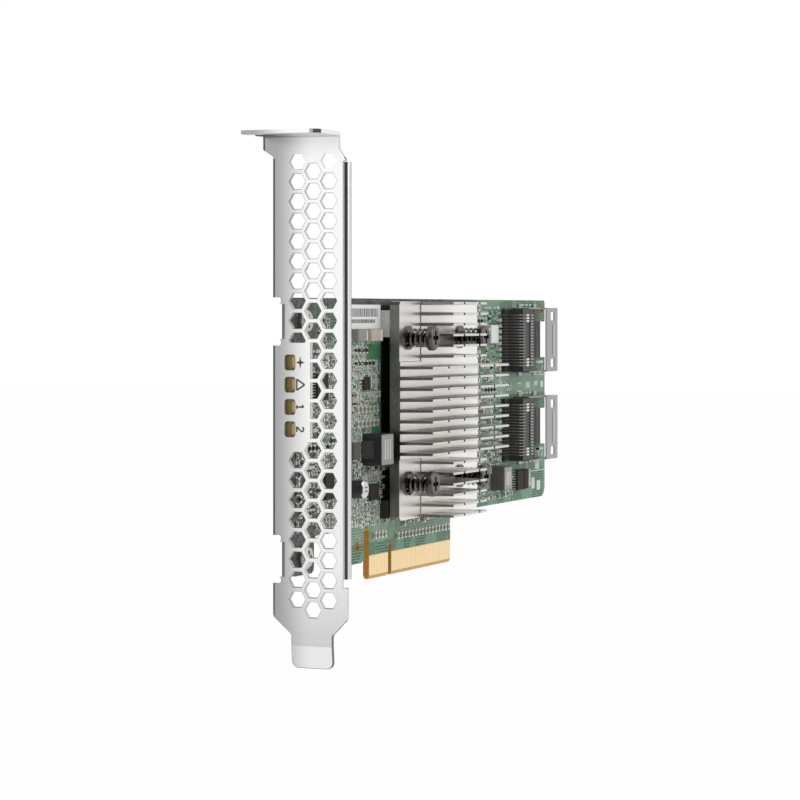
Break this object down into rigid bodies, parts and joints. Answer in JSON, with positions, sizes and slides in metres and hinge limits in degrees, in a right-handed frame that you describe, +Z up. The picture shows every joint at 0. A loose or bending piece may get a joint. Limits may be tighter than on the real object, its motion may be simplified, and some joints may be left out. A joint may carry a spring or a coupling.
{
  "type": "storage controller card",
  "caption": "Low-profile storage controller card with a cross-cut heatsink on sprung screws, a full-height hexagon-vented bracket, an edge connector and two internal cable ports",
  "frame": {"origin": "centre of the key notch in the edge connector, on the board's middle plane and bottom edge", "axes": "+X along the card from the bracket to the cable ports, +Z up away from the edge connector, component side faces -Y"},
  "size_m": [0.1791, 0.0209, 0.1209],
  "materials": {
    "bracket_steel": "satin",
    "screw_steel": "satin",
    "spring_steel": "satin",
    "board_green": "satin",
    "contact_gold": "polished",
    "chip_black": "matte",
    "pad_grey": "matte",
    "heatsink_aluminium": "satin",
    "ferrite": "matte",
    "tin": "satin",
    "tantalum_beige": "matte",
    "can_aluminium": "polished",
    "connector_black": "matte",
    "led_white": "gloss",
    "capacitor_tan": "matte",
    "label_paper": "matte",
    "shell_steel": "satin"
  },
  "bodies": {
    "root": {"bracket": "bracket_steel", "bracket_screws": "screw_steel", "circuit_board": "board_green", "edge_contacts_front": "contact_gold", "edge_contacts_rear": "contact_gold", "controller_chip": "chip_black", "thermal_pad": "pad_grey", "support_pad": "pad_grey", "heatsink": "heatsink_aluminium", "heatsink_screws": "screw_steel", "heatsink_springs": "spring_steel", "heatsink_washers": "screw_steel", "heatsink_nuts": "screw_steel", "power_inductor": "ferrite", "power_inductor_terminals": "tin", "small_inductors": "ferrite", "flat_chips": "chip_black", "tantalum_capacitors": "tantalum_beige", "crystal_can": "tin", "capacitor_can": "can_aluminium", "capacitor_base": "connector_black", "status_leds": "led_white", "ceramic_capacitors": "capacitor_tan", "chip_resistors": "chip_black", "board_label": "label_paper", "sas_housing_upper": "connector_black", "sas_contacts_upper": "tin", "sas_shell_upper": "shell_steel", "sas_housing_lower": "connector_black", "sas_contacts_lower": "tin", "sas_shell_lower": "shell_steel"}
  },
  "joints": []
}
